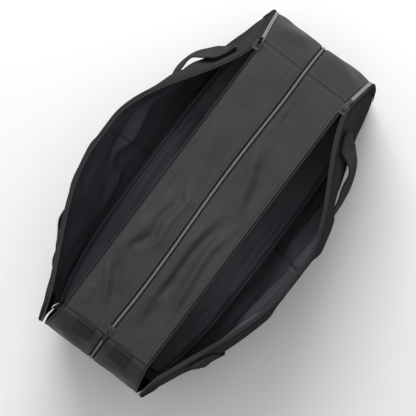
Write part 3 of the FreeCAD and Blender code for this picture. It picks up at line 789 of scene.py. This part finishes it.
def make_handles():
    """Each handle's hanging strap, and under its two ends the patches and the sewn strap ends."""
    for side, sign in SIDES.items():
        def strap(u, v):
            x, z, off, tilt = strap_at(u)
            ahead, behind = strap_at(min(1, u + 0.004)), strap_at(max(0, u - 0.004))
            run = Vector((ahead[0] - behind[0], ahead[1] - behind[1]))
            run.normalize()
            across = Vector((-run.y, run.x))
            if u < TURN_END:
                turned = smooth((u - TURN_START) / (TURN_END - TURN_START))
                across = Vector((1, 0)) * (1 - turned) + across * turned
            across.normalize()
            reach = STRAP_HALF * (2 * v - 1)
            lower = -reach * across.y
            sag = 0.0006 * math.cos(v * 2 * math.pi)
            return on_cloth(side, x + across.x * reach, z + across.y * reach, off + tilt * lower + sag)

        strap_piece = cloth(
            f"{side}_handle_strap", 220, 10, mirrored_place(strap, sign), 0.0018,
            [webbing], (STRAP_LENGTH, 2 * STRAP_HALF), inside_first=sign > 0,
        )
        ride_for(strap_piece, f"{side}_handle", "webbing", f"{side}_handle")
        for end, place_x in (("near", NEAR_SEWN_X), ("far", FAR_SEWN_X)):
            for name, half, low, high, off in (
                ("patch", STRAP_HALF + 0.003, 0.209, 0.248, 0.0010),
                ("sewn_end", STRAP_HALF, 0.212, 0.268, 0.0024),
            ):
                def sewn(u, v):
                    return on_cloth(side, place_x + half * (2 * v - 1), low + (high - low) * u, off)

                piece = cloth(
                    f"{side}_handle_{end}_{name}", 20, 12, mirrored_place(sewn, sign), 0.0009,
                    [webbing], (high - low, 2 * half), inside_first=sign < 0,
                )
                blend_for(piece, end, f"{side}_handle_anchors")


# ---- top band and ends -----------------------------------------------------------------------

# Folds of the top band, in x and y: a line of points, width and height.
BAND_FOLDS = [
    (
        (
            (0.005, 0.038), (-0.015, 0.026), (-0.046, 0.032),
            (-0.068, 0.027), (-0.090, 0.040), (-0.103, 0.035),
        ),
        0.0055, -0.0038,
    ),
    (((0.012, 0.031), (-0.010, 0.018), (-0.044, 0.023), (-0.066, 0.018), (-0.088, 0.030)), 0.0065, 0.0034),
    (((-0.050, 0.043), (-0.078, 0.044), (-0.098, 0.046)), 0.008, 0.0030),
    (((-0.118, 0.053), (-0.140, 0.039), (-0.168, 0.023)), 0.0050, 0.0034),
    (((-0.110, 0.044), (-0.138, 0.028), (-0.160, 0.018)), 0.0060, -0.0024),
    (((-0.152, 0.050), (-0.180, 0.044)), 0.007, 0.0024),
    (((0.090, 0.045), (0.040, 0.030), (0.010, 0.022)), 0.010, 0.0020),
    (((0.095, -0.010), (0.055, -0.024), (0.029, -0.031), (0.010, -0.036)), 0.0075, 0.0036),
    (((0.085, -0.024), (0.050, -0.038), (0.020, -0.046)), 0.008, -0.0028),
    (
        ((0.002, -0.034), (-0.030, -0.026), (-0.060, -0.024), (-0.090, -0.027), (-0.128, -0.018)),
        0.0080, -0.0052,
    ),
    (((0.000, -0.020), (-0.050, -0.014), (-0.100, -0.014), (-0.150, -0.012)), 0.0070, 0.0040),
    (
        ((-0.004, -0.043), (-0.040, -0.036), (-0.064, -0.038), (-0.115, -0.044), (-0.132, -0.050)),
        0.0060, 0.0046,
    ),
    (((-0.120, -0.032), (-0.150, -0.026), (-0.175, -0.030)), 0.008, -0.0026),
    (((0.150, -0.012), (0.100, -0.030)), 0.010, -0.0016),
]


SEAM_DEPTH, SEAM_REACH = 0.0011, 0.0022   # the crease at a cross seam


def band_lift(x, y):
    """How far the top band's cloth stands over its plain height: soft slanting folds that are
    deepest towards the near end. It never dips below the tapes that it is sewn on."""
    across = abs(y)
    edge = smooth((across - 0.0034) / 0.010) * smooth((ZIP_HALF - 0.003 - across) / 0.010)
    ends = smooth((TOP_HALF - abs(x)) / 0.022)
    place = Vector((x, y))
    amount = folds(place, BAND_FOLDS) + rumple(Vector((x, y, 0)), 14, 0.0016, 5.0)
    over_tape = max(smooth((0.0145 - across) / 0.004), smooth((across - 0.045) / 0.004))
    lift = amount * edge * ends
    seam = -SEAM_DEPTH * (1 - smooth((TOP_HALF - abs(x)) / SEAM_REACH))
    return max(lift, -0.0045 * (1 - over_tape)) + seam


def zip_wave(x):
    """The centre zip wanders a little from the middle, most where the band is slack."""
    return 0.0016 * math.sin(x * 19 + 0.6) * smooth((TOP_HALF - abs(x)) / 0.06)


def make_top_panels():
    """The two halves of the top band, one on each side of the centre zip."""
    for side, sign in SIDES.items():
        low_y, high_y = panel_box[0].y, panel_box[1].y

        def place(u, v):
            x = -TOP_HALF + BAND_LENGTH * u
            y = low_y + (high_y - low_y) * v
            shift = zip_wave(x) * sign * (1 - smooth(v / 0.5))
            return Vector((x, y + shift, HEIGHT + band_lift(x, sign * y)))

        panel = cloth(
            f"{side}_top_panel_cloth", 150, 30, mirrored_place(place, sign), CLOTH,
            [band_cloth, lining_cloth], (BAND_LENGTH, PANEL_WIDTH), inside_first=sign < 0,
        )
        ride_for(panel, "root", "shell_cloth", f"{side}_top_panel")


END_SWELL = 0.0006                     # how far a lobe of an end stands out
END_WIDTH = 0.070                      # a lobe's width, for the weave's scale


def make_end_panels():
    """The ends go from the cross seams over the shoulders and down to the base. Each half is a
    shallow lobe between its zips."""
    last = outline_length(base_box[1].z)
    for side, sign in SIDES.items():
        for end_name, end in (("near", -1), ("far", 1)):
            def place(u, v):
                length = TOP_HALF + (last - TOP_HALF) * u
                point, out = outline(end * length)
                below = smooth((CHAIN_END - point.z) / 0.006)
                inner = 0.0034 * (1 - below)
                face = half_width(point.x, point.z)
                outer = face - 0.0070 + (0.0070 - CLOTH - 0.0003) * below
                y = inner + (outer - inner) * v
                crown = math.sin(math.pi * v) ** 0.8 * smooth(u / 0.12) * smooth((1 - u) / 0.12)
                swell = END_SWELL * crown
                swell += rumple(Vector((point.x, sign * y, point.z)), 12, 0.003, 2.0) * crown
                wave = 0.0016 * math.sin(u * 34 + 5 * v) * smooth(u / 0.05) * (1 - smooth(u / 0.45))
                seam = -SEAM_DEPTH * (1 - smooth(u * (last - TOP_HALF) / SEAM_REACH))
                return Vector((point.x, y, point.z)) + out * (swell + wave * crown + seam)

            flip = (end > 0) == (sign > 0)
            panel = cloth(
                f"{side}_{end_name}_end_cloth", 70, 24, mirrored_place(place, sign), CLOTH,
                [end_cloth, lining_cloth], (last - TOP_HALF, END_WIDTH), inside_first=not flip,
            )
            ride_for(panel, "root", "shell_cloth", f"{side}_{end_name}_end_panel")


# ---- zips on the band ------------------------------------------------------------------------


def band_strip(name, node, sign, edges, lift, rows, material, slot, thickness, width, wave=False):
    """A strip that follows the outline from one zip end to the other. edges(point) gives its two
    sides and lift(v) its height off the outline."""
    def place(u, v):
        point, out = outline(CHAIN_LENGTH * (2 * u - 1))
        first, second = edges(point)
        y = first + (second - first) * v
        if wave:
            y += zip_wave(point.x) * sign
        return Vector((point.x, y, point.z)) + out * lift(v)

    strip = cloth(
        name, 320, rows, mirrored_place(place, sign), thickness, [material],
        (2 * CHAIN_LENGTH, width), inside_first=sign < 0,
    )
    ride_for(strip, "root", slot, node)


def make_band_zips():
    """Coil halves and tapes of the closed centre zip and of the band's half of each side zip."""
    def ridge(v):
        return 0.0009 * math.sin(math.pi * v) + 0.0001

    def flat(v):
        return -CLOTH - 0.0001

    def beside_side_zip(first, second):
        """Edges that far in from a closed side panel's outer face."""
        def edges(point):
            face = half_width(point.x, point.z)
            return face - first, face - second
        return edges

    rows = (
        ("centre_coil", "teeth", lambda point: (0.0001, 0.0013), ridge, 6, centre_teeth, "zip_coil",
         0.0005, 0.0012, True),
        ("centre_tape", "cloth", lambda point: (0.0008, 0.0122), flat, 3, tape_cloth, "zip_tape",
         0.0006, 0.011, True),
        ("band_coil", "teeth", beside_side_zip(0.0066, 0.0046), ridge, 6, band_teeth, "zip_coil",
         0.0005, 0.002, False),
        ("band_tape", "cloth", beside_side_zip(0.0162, 0.0054), flat, 3, tape_cloth, "zip_tape",
         0.0006, 0.011, False),
    )
    for side, sign in SIDES.items():
        for node, kind, *row in rows:
            band_strip(f"{side}_{node}_{kind}", f"{side}_{node}", sign, *row)


# ---- tabs ------------------------------------------------------------------------------------


def make_tabs():
    """A folded tab of webbing on each side of the centre zip. Its folded edge stands up a little
    at the near cross seam."""
    half = (tab_box[1].y - tab_box[0].y) / 2
    middle = (tab_box[1].y + tab_box[0].y) / 2
    reach = 0.026

    for side, sign in SIDES.items():
        def place(u, v):
            point, out = outline(-TOP_HALF + 0.0022 - reach * u)
            lift = 0.0022 + 0.0032 * (1 - smooth(u / 0.30)) + 0.0006 * math.sin(v * math.pi)
            lift -= 0.0014 * smooth((u - 0.8) / 0.2)
            y = middle + half * (2 * v - 1)
            return Vector((point.x, y, point.z)) + out * lift

        tab = cloth(
            f"{side}_webbing_tab_fold", 18, 16, mirrored_place(place, sign), 0.0019,
            [webbing], (reach, 2 * half), inside_first=sign > 0,
        )
        soften = tab.modifiers.new("soft edge", "BEVEL")
        soften.width = 0.0006
        soften.segments = 2
        ride_for(baked(tab), "root", "webbing", f"{side}_webbing_tab")


# ---- inside ----------------------------------------------------------------------------------


def make_dividers():
    """The cloth walls between the compartments, with slack folds."""
    for side, sign in SIDES.items():
        def place(u, v):
            x = (END_HALF - 0.004) * (2 * u - 1)
            top = top_at(x) - 0.0024
            z = INNER_FLOOR + (top - INNER_FLOOR) * v
            slack = smooth(v / 0.2) * smooth((1 - v) / 0.15) * smooth((1 - abs(2 * u - 1)) / 0.1)
            return Vector((x, DIVIDER + slack * rumple(Vector((x, 0, z)), 11, 0.006, 12.0 + sign), z))

        wall = cloth(
            f"{side}_divider_cloth", 90, 50, mirrored_place(place, sign), 0.001,
            [lining_cloth], (2 * END_HALF, HEIGHT), inside_first=sign < 0,
        )
        ride_for(wall, "root", "lining", f"{side}_divider")


# Folds of the floor's lining, in x and y: a line of points, width and height.
FLOOR_FOLDS = [
    (((0.058, 0.098), (0.008, 0.094), (-0.029, 0.092), (-0.056, 0.088), (-0.086, 0.086)), 0.010, 0.009),
    (((0.091, 0.084), (0.047, 0.086), (0.010, 0.082)), 0.008, 0.006),
    (((-0.150, 0.066), (-0.080, 0.072)), 0.010, 0.005),
    (((0.077, -0.092), (-0.012, -0.086), (-0.066, -0.088)), 0.007, 0.007),
    (((0.060, -0.074), (-0.030, -0.070)), 0.009, 0.005),
    (((-0.112, -0.088), (-0.160, -0.078)), 0.008, 0.005),
]


def make_base():
    """The lining on the floor of the bag. It has loose folds over its stiffener and turns up a
    little where it meets the side panels. The outer base lies under it."""
    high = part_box("base_lining")[1]

    def place(u, v):
        x = (2 * u - 1) * (END_HALF - 0.0025)
        half = half_width(x, 0) - 0.0018
        across = abs(2 * v - 1)
        y = (2 * v - 1) * half
        edge = smooth((1 - abs(2 * u - 1)) / 0.08) * smooth((1 - across) / 0.10)
        lift = rumple(Vector((x, y, 0)), 12, 0.0030, 7.0) + folds(Vector((x, y)), FLOOR_FOLDS)
        turned_up = 0.016 * smooth((across - 0.93) / 0.07) ** 2
        return Vector((x, y, high.z + edge * max(-0.0004, lift) + turned_up))

    size = (2 * high.x, 2 * high.y)
    floor = cloth("base_lining_cloth", 150, 90, place, 0.0008, [lining_cloth], size)
    ride_for(floor, "root", "lining", "base_lining")
    paint("base_panel", base_cloth)
    paint("base_board", board_plastic)


def paint(node, material):
    """Gives a CAD node that stays as it is a material and, for the weave, a UV map in metres."""
    mesh = frame["nodes"][node].data
    layer = mesh.uv_layers.get("cloth") or mesh.uv_layers.new(name="cloth")
    for loop in mesh.loops:
        place = mesh.vertices[loop.vertex_index].co
        layer.data[loop.index].uv = (place.x, place.y)
    mesh.materials.clear()
    mesh.materials.append(material)


# ---- build -----------------------------------------------------------------------------------

make_camera()
make_stage()
make_side_panels()
make_rims()
make_top_panels()
make_end_panels()
make_band_zips()
make_handles()
make_tabs()
make_dividers()
make_base()
for metal_node in (
    "left_slider", "right_slider", "centre_slider",
    "left_pull", "right_pull", "centre_pull", "zip_end_stops",
):
    paint(metal_node, zip_metal)
